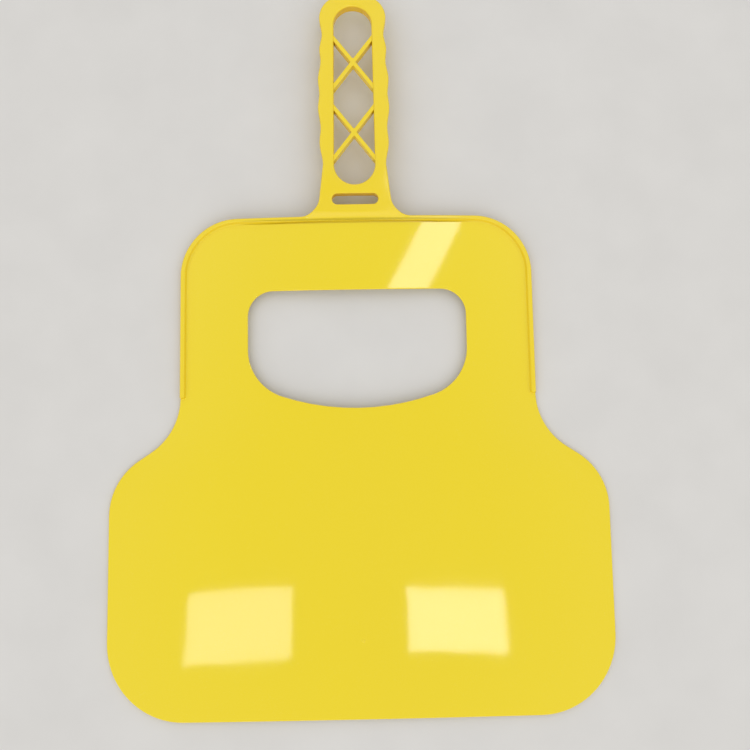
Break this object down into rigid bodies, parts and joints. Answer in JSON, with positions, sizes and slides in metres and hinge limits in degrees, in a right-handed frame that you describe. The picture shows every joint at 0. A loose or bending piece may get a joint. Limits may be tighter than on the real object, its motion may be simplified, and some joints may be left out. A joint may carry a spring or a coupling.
{
  "type": "mortar hawk",
  "caption": "Flat moulded plastic hawk board: wide rounded blade with a hand opening, an edge bead, a slotted neck and a lattice loop grip.",
  "frame": {"origin": "on the surface the board lies on, under the middle of its bounding box", "axes": "+Y along the grip away from the blade, +X across the blade, +Z out of the front face"},
  "size_m": [0.25, 0.366, 0.0112],
  "materials": {
    "blade_plastic": "high gloss, smooth from a polished mould",
    "handle_plastic": "gloss, slightly softer than the blade"
  },
  "bodies": {
    "root": {"blade": "blade_plastic", "edge_rim": "handle_plastic", "neck": "handle_plastic", "grip_loop": "handle_plastic", "upper_cross": "handle_plastic", "lower_cross": "handle_plastic"}
  },
  "joints": []
}
